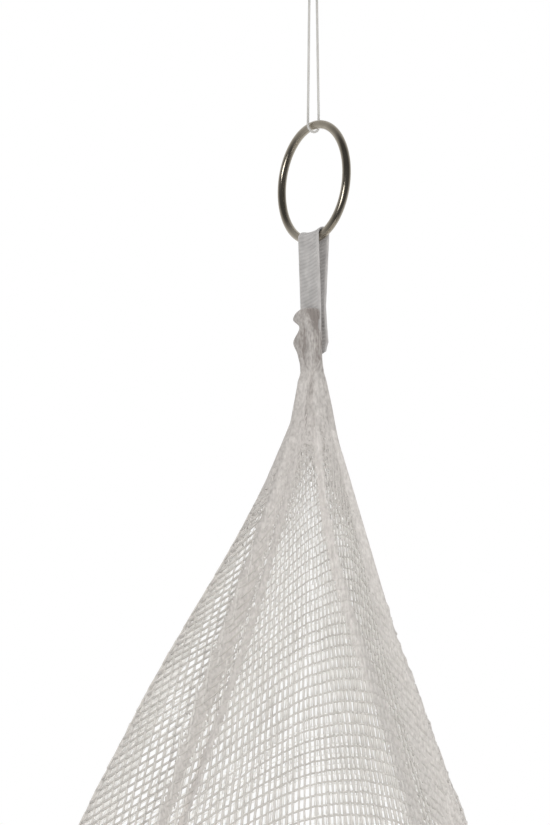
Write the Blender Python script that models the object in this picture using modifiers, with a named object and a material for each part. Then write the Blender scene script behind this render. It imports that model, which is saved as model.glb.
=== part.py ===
"""Mosquito net canopy that hangs from one point.

A string, doubled through a metal ring, holds the canopy up. A tape is looped over the bottom of the
ring and sewn into the bunched top of the net, and the net falls from there as one folded cone of
mesh to a turned hem. Metres, +Z up. The origin is the point where a hook carries the string's loop.
"""

import math
from collections import namedtuple

import bmesh
import bpy
from mathutils import Matrix, Vector

MM = 0.001
GAP = 0.3 * MM  # between pieces that touch

# The ring and the way it is turned: its plane stands upright and is turned about Z.
RING_OUTSIDE = 35.0 * MM
WIRE = 2.4 * MM
RING_TURN = math.radians(-57.0)
RING_Z = -130.0 * MM
RING_R = (RING_OUTSIDE - WIRE) / 2
RING_STEPS, WIRE_STEPS = 56, 12

# The doubled string, its knot and the loop above the knot.
STRING = 0.7 * MM
KNOT_BOTTOM_Z = -23.4 * MM
KNOT_TALL, KNOT_WIDE = 7.0 * MM, 3.4 * MM
LOOP_WIDE = 8.0 * MM
LEG_POINTS, BEND_POINTS, LOOP_POINTS = 22, 13, 30
STRING_SIDES = 2  # bevel resolution

# The tape: its two layers hang down from the ring, the front one into the net's bunched top.
TAPE_WIDE, TAPE_THICK = 10.0 * MM, 1.0 * MM
TAPE_FRONT_END_Z, TAPE_TAIL_END_Z = -175.2 * MM, -178.6 * MM
TAPE_TAIL_SLANT = 0.24  # the tail's end is cut at an angle
TAPE_FRONT_OUT, TAPE_TAIL_OUT = 1.0 * MM, -1.4 * MM
TAPE_BEND = WIRE / 2 + GAP + TAPE_THICK / 2
TAPE_EASES_Z = -166.0 * MM  # the layers hang straight below here
TAPE_ACROSS, TAPE_BEND_STEPS = 7, 10

# The net: a sheet cone under a bunched top.
NECK_Z = -184.2 * MM
NET_DROP = 1.950
NET_THICK, HEM_THICK, HEM_TALL = 2.0 * MM, 3.0 * MM, 20.0 * MM
INSIDE_TOP, INSIDE_LEAST = 0.022, 0.35
SLOT_DEEP = TAPE_THICK + 2 * GAP

# Where the bunched top reaches, level by level, in the tape's own directions: along its width and
# out from its face.
Bunch = namedtuple("Bunch", "z middle_along middle_out half_along half_out")
BUNCH = (
    Bunch(-167.2 * MM, 0.2 * MM, 1.9 * MM, 4.0 * MM, 2.1 * MM),
    Bunch(-168.2 * MM, -0.4 * MM, 1.9 * MM, 5.3 * MM, 2.5 * MM),
    Bunch(-169.6 * MM, -0.7 * MM, 1.9 * MM, 5.9 * MM, 2.5 * MM),
    Bunch(-172.4 * MM, 0.9 * MM, 1.7 * MM, 4.2 * MM, 2.3 * MM),
    Bunch(-176.2 * MM, -0.4 * MM, 1.9 * MM, 5.9 * MM, 2.5 * MM),
    Bunch(-179.9 * MM, 0.7 * MM, 1.9 * MM, 4.4 * MM, 2.5 * MM),
    Bunch(-182.6 * MM, 1.1 * MM, 1.7 * MM, 4.2 * MM, 2.3 * MM),
)

# How far the net stands out from the line under the ring, by the drop below its neck.
Reach = namedtuple("Reach", "drop left right front back")
REACH = (
    Reach(0.000, 0.0038, 0.0026, 0.0032, 0.0030),
    Reach(0.015, 0.0066, 0.0061, 0.0052, 0.0050),
    Reach(0.030, 0.0128, 0.0100, 0.0080, 0.0078),
    Reach(0.0475, 0.0225, 0.0149, 0.0125, 0.0120),
    Reach(0.070, 0.0358, 0.0214, 0.0185, 0.0180),
    Reach(0.090, 0.0470, 0.0280, 0.0240, 0.0235),
    Reach(0.131, 0.0677, 0.0427, 0.0355, 0.0350),
    Reach(0.300, 0.146, 0.110, 0.098, 0.096),
    Reach(0.600, 0.268, 0.235, 0.225, 0.220),
    Reach(1.000, 0.430, 0.402, 0.395, 0.390),
    Reach(1.500, 0.625, 0.605, 0.600, 0.596),
    Reach(NET_DROP, 0.800, 0.785, 0.785, 0.780),
)
DROPS_OUTSIDE = (0.002, 0.015, 0.030, 0.0475, 0.070, 0.095, 0.131, 0.170, 0.220, 0.300, 0.400,
                 0.520, 0.680, 0.860, 1.060, 1.280, 1.500, 1.720, NET_DROP - HEM_TALL)
DROPS_INSIDE = (1.500, 1.060, 0.680, 0.400, 0.220, 0.131, 0.095, 0.070, 0.0475, 0.030)

# The net's standing folds. Angles are about Z from +X, so 180 is the left and 270 the front. A fold
# rises before and after its crest over these spans, by a share of the net's reach. At the neck its
# line lies this much further round, and that lean fades out over this drop.
Fold = namedtuple("Fold", "angle lean fades before after rise_neck rise_hem starts")
FOLDS = (
    Fold(22, 0, 0.03, 9, 10, 0.10, 0.12, 0.00),
    Fold(52, 0, 0.03, 10, 10, 0.06, 0.13, 0.00),
    Fold(83, 0, 0.03, 9, 11, 0.12, 0.11, 0.00),
    Fold(112, 0, 0.03, 10, 9, 0.05, 0.12, 0.10),
    Fold(143, 0, 0.03, 9, 10, 0.14, 0.12, 0.00),
    Fold(170, 0, 0.03, 8, 8, 0.03, 0.10, 0.20),
    Fold(194, -4, 0.03, 9, 8, 0.00, 0.11, 0.30),
    Fold(215, -14, 0.03, 9, 8, 0.00, 0.12, 0.25),
    Fold(233, -25, 0.03, 7, 3, 0.15, 0.12, 0.00),
    Fold(238, 10, 0.09, 2.5, 4.5, 0.09, 0.08, 0.00),
    Fold(274, -16, 0.06, 11, 10, 0.00, 0.11, 0.35),
    Fold(311, -50, 0.06, 8, 8, 0.06, 0.12, 0.00),
    Fold(342, -4, 0.05, 9, 7, 0.08, 0.11, 0.00),
)
FOLD_GROWS_OVER = 0.30  # of drop, from where a fold starts to its full rise
WIDEST_STEP = 8.0  # degrees between two of the sheet's points


def clear_scene():
    """Removes everything that a new file holds."""
    for thing in list(bpy.data.objects):
        bpy.data.objects.remove(thing, do_unlink=True)


def collection(name):
    """A new collection in the scene."""
    made = bpy.data.collections.new(name)
    bpy.context.scene.collection.children.link(made)
    return made


def material(name, colour, roughness, metallic=0.0):
    """A plain material with one colour and finish."""
    made = bpy.data.materials.new(name)
    made.use_nodes = True
    shader = made.node_tree.nodes["Principled BSDF"]
    shader.inputs["Base Color"].default_value = (*colour, 1.0)
    shader.inputs["Roughness"].default_value = roughness
    shader.inputs["Metallic"].default_value = metallic
    return made


def added(name, data, group, finish):
    """An object of this mesh or curve, in its collection and with its material."""
    thing = bpy.data.objects.new(name, data)
    group.objects.link(thing)
    if finish is not None:
        data.materials.append(finish)
    return thing


def as_mesh_object(thing, group):
    """The evaluated shape of an object as a mesh object of the same name, caps welded."""
    bpy.context.view_layer.update()
    seen = thing.evaluated_get(bpy.context.evaluated_depsgraph_get())
    mesh = bpy.data.meshes.new_from_object(seen)
    shape = bmesh.new()
    shape.from_mesh(mesh)
    bmesh.ops.remove_doubles(shape, verts=shape.verts, dist=0.00001)
    shape.to_mesh(mesh)
    shape.free()
    name, place = thing.name, thing.matrix_world.copy()
    bpy.data.objects.remove(thing, do_unlink=True)
    made = bpy.data.objects.new(name, mesh)
    group.objects.link(made)
    made.matrix_world = place
    return made


def along_tape(along, out, z):
    """A point given in the tape's directions: along its width, out from its face, and height."""
    c, s = math.cos(RING_TURN), math.sin(RING_TURN)
    return Vector((along * c + out * s, along * s - out * c, z))


def smooth_value(rows, column, at):
    """A column of a table read at any drop, on a smooth curve that doesn't overshoot."""
    places = [row.drop for row in rows]
    values = [getattr(row, column) for row in rows]
    slopes = [(b - a) / (q - p) for p, q, a, b in zip(places, places[1:], values, values[1:])]
    i = max(0, min(len(slopes) - 1, sum(place <= at for place in places) - 1))
    start = slopes[i] if i == 0 else 2 * slopes[i - 1] * slopes[i] / (slopes[i - 1] + slopes[i])
    last = i == len(slopes) - 1
    end = slopes[i] if last else 2 * slopes[i] * slopes[i + 1] / (slopes[i] + slopes[i + 1])
    wide = places[i + 1] - places[i]
    t = (at - places[i]) / wide
    return (values[i] * (2 * t**3 - 3 * t**2 + 1) + values[i + 1] * (3 * t**2 - 2 * t**3)
            + wide * (start * (t**3 - 2 * t**2 + t) + end * (t**3 - t**2)))


def apart(angle, other):
    """The signed difference of two angles in degrees."""
    return (angle - other + 180) % 360 - 180


def fold_rise(angle, drop):
    """How far the folds lift the net at this angle, as a share of its reach."""
    rise = 0.0
    for fold in FOLDS:
        away = apart(angle, fold.angle)
        span = fold.before if away < 0 else fold.after
        if abs(away) < span:
            full = fold.rise_neck + (fold.rise_hem - fold.rise_neck) * math.sqrt(drop / NET_DROP)
            grown = 1.0
            if fold.starts > 0:
                grown = min(1.0, max(0.0, (drop - fold.starts) / FOLD_GROWS_OVER))
            rise += full * grown * 0.5 * (1 + math.cos(math.pi * away / span))
    return rise


def leaned(angle, drop):
    """The angle at which a line of the net lies this far below the neck."""
    for before, after in zip(FOLDS[-1:] + FOLDS, FOLDS + FOLDS[:1]):
        span = (after.angle - before.angle) % 360
        share = (angle - before.angle) % 360 / span
        if share <= 1:
            here, there = (fold.lean * math.exp(-drop / fold.fades) for fold in (before, after))
            return angle + here + (there - here) * share
    return angle


def net_point(angle, drop, inwards=0.0):
    """A point of the net's face, or of a face further in."""
    turned = math.radians(leaned(angle, drop))
    c, s = math.cos(turned), math.sin(turned)
    wide = smooth_value(REACH, "right" if c > 0 else "left", drop)
    deep = smooth_value(REACH, "back" if s > 0 else "front", drop)
    out = Vector((wide * c, deep * s, 0)) * (1 + fold_rise(angle, drop))
    inner = max(INSIDE_LEAST * out.length, out.length - inwards)
    return out * (inner / out.length) + Vector((0, 0, NECK_Z - drop))


def bunch_point(row, angle):
    """A point of the bunched top, an oval that lies along the tape."""
    turned = math.radians(angle) - RING_TURN
    c, s = math.cos(turned), math.sin(turned)
    reach = 1 / math.hypot(c / row.half_along, s / row.half_out)
    return along_tape(row.middle_along + c * reach, row.middle_out - s * reach, row.z)


def net_angles():
    """The angles of the net's points: each fold's feet, flanks and crest, and steps between them."""
    marked = set()
    for fold in FOLDS:
        for share in (-1.0, -0.6, -0.25, 0.0, 0.25, 0.6, 1.0):
            span = fold.before if share < 0 else fold.after
            marked.add((fold.angle + share * span) % 360)
    marked = sorted(marked)
    angles = []
    for here, following in zip(marked, marked[1:] + [marked[0] + 360]):
        if following - here < 1.0:
            continue
        steps = math.ceil((following - here) / WIDEST_STEP)
        angles += [here + (following - here) * k / steps for k in range(steps)]
    return angles


def lofted(name, rings):
    """A closed mesh through rings of points, each end closed by a fan around its middle."""
    shape = bmesh.new()
    made = [[shape.verts.new(point) for point in ring] for ring in rings]
    count = len(made[0])
    for upper, lower in zip(made, made[1:]):
        for k in range(count):
            after = (k + 1) % count
            shape.faces.new((upper[k], lower[k], lower[after], upper[after]))
    for ring, turn in ((made[0], 1), (made[-1], -1)):
        middle = shape.verts.new(sum((v.co for v in ring), Vector()) / count)
        for k in range(count):
            pair = (ring[k], ring[(k + 1) % count])[::turn]
            shape.faces.new((middle, *pair))
    bmesh.ops.triangulate(shape, faces=shape.faces)
    mesh = bpy.data.meshes.new(name)
    shape.to_mesh(mesh)
    shape.free()
    return mesh


def tape_slot(group):
    """The cutter that parts the bunched top around the tape's front layer."""
    top = BUNCH[0].z + 2 * MM
    bottom = TAPE_FRONT_END_Z - GAP
    bpy.ops.mesh.primitive_cube_add(size=1, location=along_tape(0, TAPE_FRONT_OUT, (top + bottom) / 2),
                                    rotation=(0, 0, RING_TURN))
    cutter = bpy.context.object
    cutter.name = "tape_slot"
    cutter.scale = (TAPE_WIDE + 2 * GAP, SLOT_DEEP, top - bottom)
    cutter.hide_render = True
    cutter.display_type = "WIRE"
    for holder in list(cutter.users_collection):
        holder.objects.unlink(cutter)
    group.objects.link(cutter)
    return cutter


def make_net(group, cutters, finish):
    """The folded cone of net with its bunched top and its hem."""
    angles = net_angles()
    rings = [[bunch_point(row, angle) for angle in angles] for row in BUNCH]
    rings += [[net_point(angle, drop) for angle in angles] for drop in DROPS_OUTSIDE]
    hem_out = HEM_THICK - NET_THICK
    for drop, inwards in ((NET_DROP - HEM_TALL + 2 * MM, -hem_out), (NET_DROP, -hem_out),
                          (NET_DROP, NET_THICK)):
        rings.append([net_point(angle, drop, inwards) for angle in angles])
    rings += [[net_point(angle, drop, NET_THICK) for angle in angles] for drop in DROPS_INSIDE]
    rings.append([net_point(angle, INSIDE_TOP, NET_THICK) for angle in angles])
    net = added("net", lofted("net", rings), group, finish)
    slot = net.modifiers.new("tape_slot", "BOOLEAN")
    slot.operation = "DIFFERENCE"
    slot.object = tape_slot(cutters)
    return net


def tape_line(along):
    """The tape's middle line at this place across its width, as (out, z) pairs: from its front end
    up over the ring's wire and down to its tail."""
    rise = RING_R - math.sqrt(RING_R**2 - along**2)  # the ring's curve lifts the tape's edges
    bend_z = RING_Z - RING_R + rise
    line = [(TAPE_FRONT_OUT, TAPE_FRONT_END_Z), (TAPE_FRONT_OUT, TAPE_EASES_Z)]
    for share in (0.35, 0.7):
        line.append((TAPE_FRONT_OUT + (TAPE_BEND - TAPE_FRONT_OUT) * share,
                     TAPE_EASES_Z + (bend_z - TAPE_EASES_Z) * share))
    for k in range(TAPE_BEND_STEPS + 1):
        turn = math.pi * k / TAPE_BEND_STEPS
        line.append((TAPE_BEND * math.cos(turn), bend_z + TAPE_BEND * math.sin(turn)))
    for share in (0.7, 0.35, 0.0):
        line.append((TAPE_TAIL_OUT + (-TAPE_BEND - TAPE_TAIL_OUT) * share,
                     TAPE_EASES_Z + (bend_z - TAPE_EASES_Z) * share))
    line.append((TAPE_TAIL_OUT, TAPE_TAIL_END_Z - TAPE_TAIL_SLANT * (TAPE_WIDE / 2 - along)))
    return line


def make_tape(group, finish):
    """The tape that loops over the bottom of the ring, an open surface made solid."""
    places = [TAPE_WIDE * (k / (TAPE_ACROSS - 1) - 0.5) for k in range(TAPE_ACROSS)]
    shape = bmesh.new()
    grid = [[shape.verts.new(along_tape(place, out, z)) for out, z in tape_line(place)]
            for place in places]
    for near, far in zip(grid, grid[1:]):
        for k in range(len(near) - 1):
            shape.faces.new((near[k], near[k + 1], far[k + 1], far[k]))
    mesh = bpy.data.meshes.new("tape")
    shape.to_mesh(mesh)
    shape.free()
    tape = added("tape", mesh, group, finish)
    solid = tape.modifiers.new("thickness", "SOLIDIFY")
    solid.thickness = TAPE_THICK
    solid.offset = 0
    return tape


def make_ring(group, finish):
    """The round-wire ring, standing upright and turned."""
    upright = Matrix.Rotation(math.radians(90), 4, "X")
    bpy.ops.mesh.primitive_torus_add(major_radius=RING_R, minor_radius=WIRE / 2,
                                     major_segments=RING_STEPS, minor_segments=WIRE_STEPS)
    ring = bpy.context.object
    ring.name = "ring"
    for holder in list(ring.users_collection):
        holder.objects.unlink(ring)
    group.objects.link(ring)
    ring.data.transform(upright)
    ring.location = (0, 0, RING_Z)
    ring.rotation_euler = (0, 0, RING_TURN)
    ring.data.materials.append(finish)
    ring.data.shade_smooth()
    return ring


def tube(name, points, thickness, group, finish, cyclic=False):
    """A round string along a line of points."""
    data = bpy.data.curves.new(name, "CURVE")
    data.dimensions = "3D"
    data.bevel_depth = thickness / 2
    data.bevel_resolution = STRING_SIDES
    data.use_fill_caps = True
    spline = data.splines.new("POLY")
    spline.points.add(len(points) - 1)
    for held, point in zip(spline.points, points):
        held.co = (*point, 1)
    spline.use_cyclic_u = cyclic
    return added(name, data, group, finish)


def string_line():
    """The string's middle line: down its front leg, under the ring's wire and up its back leg."""
    bend = WIRE / 2 + GAP + STRING / 2
    bend_z, top_z, top_out = RING_Z + RING_R, KNOT_BOTTOM_Z - GAP, STRING / 2 + GAP / 2
    line = []
    for k in range(LEG_POINTS):
        share = k / LEG_POINTS
        line.append(along_tape(0, top_out + (bend - top_out) * share, top_z + (bend_z - top_z) * share))
    for k in range(BEND_POINTS):
        turn = math.pi * k / (BEND_POINTS - 1)
        line.append(along_tape(0, bend * math.cos(turn), bend_z - bend * math.sin(turn)))
    for k in reversed(range(LEG_POINTS)):
        share = k / LEG_POINTS
        line.append(along_tape(0, -top_out - (bend - top_out) * share, top_z + (bend_z - top_z) * share))
    return line


def knot_profile():
    """The knot's outline from bottom to top as (radius, z): two turns of string, one on the other."""
    low, tall, wide = KNOT_BOTTOM_Z, KNOT_TALL, KNOT_WIDE / 2
    return [(0.0, low), (0.55 * wide, low), (0.92 * wide, low + 0.14 * tall), (wide, low + 0.3 * tall),
            (0.8 * wide, low + 0.46 * tall), (0.97 * wide, low + 0.62 * tall),
            (0.85 * wide, low + 0.8 * tall), (0.45 * wide, low + tall), (0.0, low + tall)]


def make_knot(group, cutters, finish):
    """The knot above the legs with the loop that goes over a hook."""
    outline = bmesh.new()
    points = [outline.verts.new((radius, 0, z)) for radius, z in reversed(knot_profile())]
    for start, end in zip(points, points[1:]):
        outline.edges.new((start, end))
    mesh = bpy.data.meshes.new("knot")
    outline.to_mesh(mesh)
    outline.free()
    knot = added("knot", mesh, group, finish)
    turn = knot.modifiers.new("turned", "SCREW")
    turn.steps = turn.render_steps = 16
    turn.use_merge_vertices = True
    turn.merge_threshold = 0.00001
    low = KNOT_BOTTOM_Z + 0.8 * KNOT_TALL
    middle_z, half = (STRING / 2 + low) / 2, (STRING / 2 - low) / 2
    ring = []
    for k in range(LOOP_POINTS):
        turned = 2 * math.pi * k / LOOP_POINTS
        narrowing = 0.75 - 0.25 * math.cos(turned)  # the loop closes up towards the knot
        ring.append(Vector((LOOP_WIDE / 2 * math.sin(turned) * narrowing, 0,
                            middle_z - half * math.cos(turned))))
    loop = as_mesh_object(tube("hook_loop", ring, STRING, cutters, None, cyclic=True), cutters)
    loop.hide_render = True
    loop.display_type = "WIRE"
    join = knot.modifiers.new("hook_loop", "BOOLEAN")
    join.operation = "UNION"
    join.object = loop
    return knot


def build():
    """The whole canopy."""
    clear_scene()
    group, cutters = collection("mosquito_net_canopy"), collection("cutters")
    net_cloth = material("net_mesh", (0.82, 0.80, 0.77), 0.75)
    tape_cloth = material("tape_weave", (0.76, 0.75, 0.73), 0.7)
    metal = material("ring_nickel", (0.42, 0.39, 0.34), 0.18, 1.0)
    cord = material("string_twist", (0.74, 0.73, 0.70), 0.8)
    make_ring(group, metal)
    make_tape(group, tape_cloth)
    make_net(group, cutters, net_cloth)
    tube("string", string_line(), STRING, group, cord)
    make_knot(group, cutters, cord)


build()
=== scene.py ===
"""Looks of the mosquito net canopy: knitted net, grosgrain tape, nickel ring and twisted string.

Metres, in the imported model's frame: +Z up, -Y towards the viewer, the origin inside the string's loop.
The net's first stretch under the neck is knitted in real threads. Below it the net is one thin sheet
whose holes are cut by its material, down to the turned hem.
"""

import math
from collections import namedtuple

import bpy
import numpy as np
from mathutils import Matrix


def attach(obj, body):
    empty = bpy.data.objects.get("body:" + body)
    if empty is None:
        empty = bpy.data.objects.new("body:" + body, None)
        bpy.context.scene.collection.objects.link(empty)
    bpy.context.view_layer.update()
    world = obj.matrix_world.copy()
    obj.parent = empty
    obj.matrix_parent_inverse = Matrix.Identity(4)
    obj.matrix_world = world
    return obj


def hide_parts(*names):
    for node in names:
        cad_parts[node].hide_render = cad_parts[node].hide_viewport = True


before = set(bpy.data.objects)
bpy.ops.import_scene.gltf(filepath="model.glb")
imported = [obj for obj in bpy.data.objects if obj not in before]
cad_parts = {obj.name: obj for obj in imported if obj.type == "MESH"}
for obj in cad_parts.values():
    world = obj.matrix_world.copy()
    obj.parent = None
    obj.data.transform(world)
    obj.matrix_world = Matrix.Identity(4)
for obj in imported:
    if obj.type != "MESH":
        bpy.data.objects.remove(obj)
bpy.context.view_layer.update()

MM = 0.001
UPWARDS = np.array((0.0, 0.0, 1.0))

# The camera looks up at the ring from below its height.
CAMERA_PLACE = (-10.83 * MM, -631.34 * MM, -276.21 * MM)
CAMERA_PITCH = math.radians(7.3)
CAMERA_LENS = 100.0

# The ring stands upright with its plane turned about Z. The tape's width lies along that plane.
RING_TURN = math.radians(-57.0)
RING_Z = -130.0 * MM
WIRE = 2.4 * MM
RING_R = (35.0 * MM - WIRE) / 2
RING_STEPS, WIRE_STEPS = 192, 36
GAP = 0.3 * MM  # between pieces that all but touch

# The string: its route is the solid's, from the knot down, under the ring's wire and up again.
STRING = 0.7 * MM
STRING_PLIES, STRING_PITCH = 3, 2.1 * MM
PLY_LOW, PLY_RISE = 0.80, 0.24  # the plies' relief, as shares of half the thickness
STRING_STEP = 0.14 * MM
LEG_POINTS, BEND_POINTS = 22, 13
KNOT_BOTTOM_Z = -23.4 * MM
KNOT_TALL, KNOT_WIDE, LOOP_WIDE = 7.0 * MM, 3.4 * MM, 8.0 * MM
KNOT_TURNS, KNOT_POINTS, LOOP_POINTS = 2.5, 35, 40

# The tape lies inside the solid's thickness.
TAPE_WIDE, TAPE_THICK = 10.0 * MM, 0.55 * MM
TAPE_FRONT_END_Z, TAPE_TAIL_END_Z = -175.2 * MM, -178.6 * MM
TAPE_TAIL_SLANT = 0.24
TAPE_FRONT_OUT, TAPE_TAIL_OUT = 1.0 * MM, -0.6 * MM
TAPE_TAIL_BULGE_OUT, TAPE_TAIL_BULGE_Z, TAPE_TAIL_BULGE_TALL = -1.4 * MM, -176.0 * MM, 4.0 * MM
TAPE_BEND, TAPE_BEND_POINTS = WIRE / 2 + GAP + TAPE_THICK / 2, 19
TAPE_PARTS_Z, TAPE_PARTS = -166.0 * MM, (0.0, 0.35, 0.7)  # its layers part from here up, by these shares
TAPE_EDGE_THICK = 0.45  # its edges' thickness, as a share of the rest's
RIB_PITCH, RIB_TALL, RIB_SKEW = 1.05 * MM, 0.17 * MM, 0.20
LINES_PER_RIB = 8
RIB_MIDDLE, BY_RIB_SHADE = 0.6, 0.26  # how far up a rib has the tape's own tone, painted shade darkening it below, and how far the ribs' painted shade moves it
SELVAGE, SELVAGE_RISE, SELVAGE_TONE = 0.8 * MM, 0.03 * MM, 0.3

# The bunched top of the net, from the bottom up, in the tape's directions (mm).
Bunch = namedtuple("Bunch", "z middle_along middle_out half_along half_out")
BUNCH = (
    Bunch(-186.5, 0.9, 1.2, 4.0, 2.4),
    Bunch(-181.8, 1.1, 1.7, 4.2, 2.3),
    Bunch(-178.9, 0.7, 1.9, 4.5, 2.5),
    Bunch(-175.2, -0.3, 1.9, 5.7, 2.5),
    Bunch(-171.2, 0.9, 1.7, 4.2, 2.3),
    Bunch(-168.6, -0.5, 1.9, 5.6, 2.5),
    Bunch(-167.3, -0.3, 1.9, 5.0, 2.4),
    Bunch(-166.5, 0.0, 1.9, 3.4, 1.9),
)
BUNCH_AROUND, BUNCH_LEVELS = 240, 220
BUNCH_PAINTED_SHADE = 0.95  # painted shade: how much darker it is than the layers below
BUNCH_JOINS_Z = (-187.0 * MM, -181.0 * MM)  # where the bunch's own outline gives way to the net's
WAVES_TURN_OVER = 10.0 * MM
Wave = namedtuple("Wave", "count deep phase turn")  # small pleats round it, in degrees
WAVES = (Wave(7, 0.03, 40, 6), Wave(13, 0.025, 250, -9), Wave(29, 0.02, 90, 5))

# The bunch's creases on the viewer's side: (x, z) paths, half width and rise towards the viewer (mm), and
# their painted shade, how much paler they are (darker where below nought).
Crease = namedtuple("Crease", "path wide rise shade")
CREASES = (
    Crease(((-2.9, -168.9), (-1.0, -172.9), (-0.9, -181.5)), 0.9, 0.8, 0.5),  # middle ridge
    Crease(((-0.4, -168.0), (1.2, -171.8)), 1.4, -1.3, -1.6),  # hollow at its right
    Crease(((1.3, -174.5), (0.9, -181.0)), 0.8, -0.25, -0.25),
    Crease(((-2.7, -172.6), (-2.8, -179.6)), 0.7, -0.65, -0.6),  # crevice at its left
    Crease(((-4.5, -168.0), (-3.9, -169.8)), 0.9, 0.6, 0.3),  # rolled knob
    Crease(((-3.3, -167.3), (-2.9, -169.6)), 0.5, -0.6, -0.6),
    Crease(((-5.6, -171.4), (-3.4, -171.2)), 0.5, -0.9, -0.9),
    Crease(((-4.5, -173.8), (-4.2, -178.0)), 1.2, 0.5, -0.8),  # second bulge
    Crease(((-0.8, -183.0), (-2.9, -194.5)), 0.8, 0.5, 0.35),  # ridge into the left pleats
    Crease(((-0.6, -188.0), (-3.0, -200.0)), 0.8, -0.6, -0.5),
)

# The pressed layers down the neck: how far they reach, and how far they lie outside the net's outline at
# these drops. The threads come out from under them.
CORE_DROP, CORE_THINS_DROP, CORE_WAVES_DROP = 0.048, 0.026, 0.020
CORE_OUT_DROPS, CORE_OUT = (0.010, 0.018, 0.045), (0.15 * MM, -0.18 * MM, -0.55 * MM)
CORE_OPENINGS = ((2.6 * MM, 2.2 * MM, 0.70), (-2.4 * MM, 3.2 * MM, 0.70))  # x, half width, how open
NECK_INSET, NECK_INSET_DROP = 1.5 * MM, 0.010

# The net's reach from the line under the ring, by the drop below its neck, within a millimetre of the
# solid's.
NECK_Z = -184.2 * MM
NET_DROP = 1.950
Reach = namedtuple("Reach", "drop left right front back")
REACH = (
    Reach(0.000, 0.0038, 0.0026, 0.0032, 0.0030),
    Reach(0.015, 0.0069, 0.0058, 0.0052, 0.0050),
    Reach(0.022, 0.0102, 0.0076, 0.0065, 0.0063),
    Reach(0.030, 0.0136, 0.0099, 0.0080, 0.0078),
    Reach(0.0475, 0.0226, 0.0149, 0.0125, 0.0120),
    Reach(0.070, 0.0358, 0.0214, 0.0185, 0.0180),
    Reach(0.090, 0.0470, 0.0280, 0.0240, 0.0235),
    Reach(0.131, 0.0677, 0.0427, 0.0355, 0.0350),
    Reach(0.300, 0.146, 0.110, 0.098, 0.096),
    Reach(0.600, 0.268, 0.235, 0.225, 0.220),
    Reach(1.000, 0.430, 0.402, 0.395, 0.390),
    Reach(1.500, 0.625, 0.605, 0.600, 0.596),
    Reach(NET_DROP, 0.800, 0.785, 0.785, 0.780),
)

# The folds: where each is (degrees, 0 at the right and 270 at the front), how far it spreads before and
# after that, how far it rises at the neck and the hem as a share of the reach, the drop where it starts,
# how far it leans at the neck, and the drop over which that fades.
Fold = namedtuple("Fold", "angle before after rise_neck rise_hem starts lean fades", defaults=(0.0, 0, 0.03))
FOLDS = (
    Fold(22, 9, 10, 0.10, 0.12),
    Fold(52, 10, 10, 0.06, 0.13),
    Fold(83, 9, 11, 0.12, 0.11),
    Fold(112, 10, 9, 0.05, 0.12, 0.10),
    Fold(143, 9, 10, 0.14, 0.12),
    Fold(170, 8, 8, 0.03, 0.10, 0.20),
    Fold(194, 9, 8, 0.00, 0.11, 0.30, -4),
    Fold(215, 9, 8, 0.00, 0.12, 0.25, -14),
    Fold(233, 7, 3, 0.15, 0.12, 0.0, -25),
    Fold(238, 2.5, 4.5, 0.09, 0.08, 0.0, 10, 0.09),
    Fold(274, 11, 10, 0.00, 0.11, 0.35, -16, 0.06),
    Fold(311, 8, 8, 0.06, 0.12, 0.0, -50, 0.06),
    Fold(342, 9, 7, 0.08, 0.11, 0.0, -4, 0.05),
)
FOLD_GROWS_OVER = 0.30

# The knit's rows run round the net: level at the front's middle, and drooping towards the sides (mm), by
# how far over it is as a share of the net's reach there.
ROW_LEFT, ROW_RIGHT = 2.83 * MM, 3.20 * MM  # from row to row down the left side and the right
DROOP = ((-1.00, 43.5), (-0.80, 33.5), (-0.60, 24.0), (-0.40, 14.3), (-0.20, 6.4), (0.00, 1.7), (0.30, 0.0),
         (0.50, 0.7), (0.62, 2.4), (0.80, 9.4), (1.00, 18.0))
DROOP_GROWS_OVER = 0.038
ROW_TURNS_DROP = 0.090  # where the rows' droop is as given; their heights make them turn round it

# The knit's columns. The front's left layer has parallel ones. The open layer's fan out from the neck:
# their pitch (mm) at one drop, and how many of them are out of the pleats at the others.
THREAD_ROWS = 52
ROW_POINTS = 330
ROW_START = -0.2  # half widths from the wide pleat's middle
ROW_EDGE_INSET, ROW_EDGE_STARTS = 0.45 * MM, 0.88
THREAD_DROP = 0.24
THREAD_SIDES = 4
UPRIGHT, BAR = 0.74 * MM, 0.69 * MM
UPRIGHT_UNEVEN, BAR_UNEVEN = 0.20, 0.15  # in thickness, as shares of it
UPRIGHT_STRAYS, BAR_STRAYS = 0.09 * MM, 0.08 * MM
BACK_THIN, BACK_THINS_OVER = 0.70, 4.0 * MM  # the far side's threads, as a share of the near side's
NECK_THIN, NECK_THIN_DROPS = 0.46, (0.030, 0.085)  # the same for the threads at the neck
LEFT_COLUMNS, OPEN_COLUMNS, INNER_COLUMNS = 48, 70, 60  # to each side of the first, more than show
BACK_COLUMNS = 124
LEFT_ENDS, OPEN_ENDS = -0.1, 0.4  # half widths from the middle of the pleat that covers their ends
LEFT_PITCH, LEFT_LEAN = 2.05 * MM, 0.165
LEFT_ROW, LEFT_ROWS = 1.97 * MM, 68  # the left layer's rows are closer, and fall away to the left
LEFT_FALL_DROPS, LEFT_FALLS = (0.050, 0.080), (0.80, 0.61)
PITCH_DROP, PITCH_ANCHOR = 0.107, 0.15
PITCHES = ((-1.0, 1.66), (-0.42, 1.60), (-0.2, 1.52), (0.0, 1.43), (0.15, 1.33), (0.31, 1.21),
           (0.48, 1.10), (0.81, 0.99), (1.0, 0.95))
SHOWING = ((0.0, 0.10), (0.010, 0.13), (0.0375, 0.45), (0.049, 0.59), (0.061, 0.70), (0.084, 0.88),
           (0.107, 1.00), (0.131, 1.06), (0.25, 1.10))
WRAP = 0.12  # how far the front's columns run on round the sides
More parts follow.
